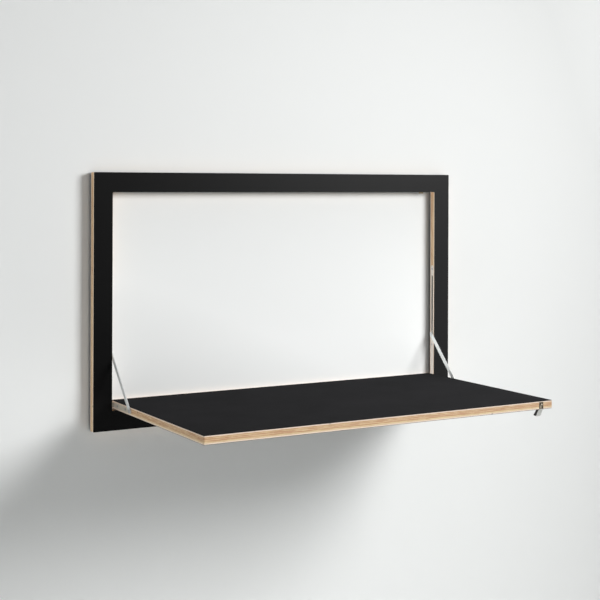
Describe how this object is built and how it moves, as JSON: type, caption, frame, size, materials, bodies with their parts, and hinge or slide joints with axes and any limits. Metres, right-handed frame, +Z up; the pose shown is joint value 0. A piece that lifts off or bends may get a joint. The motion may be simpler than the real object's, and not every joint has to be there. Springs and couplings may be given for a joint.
{
  "type": "fold down wall desk",
  "caption": "Wall-hung plywood frame whose inner panel folds down on sliding stays to make a desk, with a snap latch in its front edge.",
  "frame": {"origin": "middle of the frame's back face, which is the middle of the four keyholes", "axes": "+X right along the frame, +Y into the wall, +Z up; the flap is modelled folded down"},
  "size_m": [1, 0.5035, 0.595],
  "materials": {
    "plywood": "sanded birch plywood edge, clear oil",
    "black_laminate": "matte high-pressure laminate",
    "stay_steel": "satin, lightly brushed along its length",
    "strip_steel": "satin rolled strip",
    "pin_steel": "turned",
    "screw_steel": "zinc plated",
    "latch_bronze": "dark bronze plating",
    "latch_steel": "satin pressed steel",
    "bush_brass": "turned",
    "nylon": "natural nylon",
    "rubber": "matte black rubber"
  },
  "bodies": {
    "frame": {"frame_front_laminate": "black_laminate", "frame_board": "plywood", "frame_back_laminate": "black_laminate", "slide_rail_left": "strip_steel", "slide_rail_right": "strip_steel", "slide_rail_screws": "screw_steel", "hinge_bush_left": "bush_brass", "hinge_bush_right": "bush_brass", "hanger_plate_screws": "screw_steel", "latch_keeper": "latch_bronze", "latch_keeper_screws": "screw_steel", "hanger_plate_bottom_left": "strip_steel", "hanger_plate_top_left": "strip_steel", "hanger_plate_bottom_right": "strip_steel", "hanger_plate_top_right": "strip_steel", "wall_buffer_bottom_left": "rubber", "wall_buffer_top_left": "rubber", "wall_buffer_bottom_right": "rubber", "wall_buffer_top_right": "rubber"},
    "flap": {"flap_top_laminate": "black_laminate", "flap_board": "plywood", "flap_bottom_laminate": "black_laminate", "hinge_plate_left": "strip_steel", "hinge_plate_right": "strip_steel", "hinge_pin_left": "pin_steel", "hinge_pin_right": "pin_steel", "hinge_washer_left": "nylon", "hinge_washer_right": "nylon", "stay_pivot_left": "stay_steel", "stay_pivot_right": "stay_steel", "hinge_plate_screws": "screw_steel", "latch_case": "latch_bronze", "latch_pin": "pin_steel", "latch_case_screws": "screw_steel"},
    "stay_left": {"stay_arm_left": "stay_steel", "stay_rivet_left": "stay_steel"},
    "stay_right": {"stay_arm_right": "stay_steel", "stay_rivet_right": "stay_steel"},
    "guide_left": {"slide_block_left": "nylon", "slide_stud_left": "pin_steel"},
    "guide_right": {"slide_block_right": "nylon", "slide_stud_right": "pin_steel"},
    "latch": {"latch_lever": "latch_steel", "latch_spring": "latch_steel"}
  },
  "joints": [
    {"name": "flap_fold", "type": "hinge", "parent": "frame", "child": "flap", "pos_m": [0, -0.0095, -0.2385], "axis": [-1, 0, 0], "range_deg": [0, 90]},
    {"name": "stay_left_swing", "type": "hinge", "parent": "flap", "child": "stay_left", "pos_m": [-0.451, -0.116, -0.2385], "axis": [1, 0, 0], "range_deg": [0, 133.19]},
    {"name": "guide_left_slide", "type": "slide", "parent": "frame", "child": "guide_left", "axis": [0, 0, 1], "range_m": [0, 0.1487]},
    {"name": "stay_right_swing", "type": "hinge", "parent": "flap", "child": "stay_right", "pos_m": [0.451, -0.116, -0.2385], "axis": [1, 0, 0], "range_deg": [0, 133.19]},
    {"name": "guide_right_slide", "type": "slide", "parent": "frame", "child": "guide_right", "axis": [0, 0, 1], "range_m": [0, 0.1487]},
    {"name": "latch_press", "type": "hinge", "parent": "flap", "child": "latch", "pos_m": [0.416, -0.4885, -0.242], "axis": [-1, 0, 0], "range_deg": [0, 20], "stiffness_Nm_per_rad": 0.02, "springref_deg": -20.05}
  ],
  "couplings": [
    {"joint": "stay_left_swing", "follows": "flap_fold", "ratio": 1.4798},
    {"joint": "guide_left_slide", "follows": "flap_fold", "m_per_rad": 0.094629},
    {"joint": "stay_right_swing", "follows": "flap_fold", "ratio": 1.4798},
    {"joint": "guide_right_slide", "follows": "flap_fold", "m_per_rad": 0.094629}
  ]
}
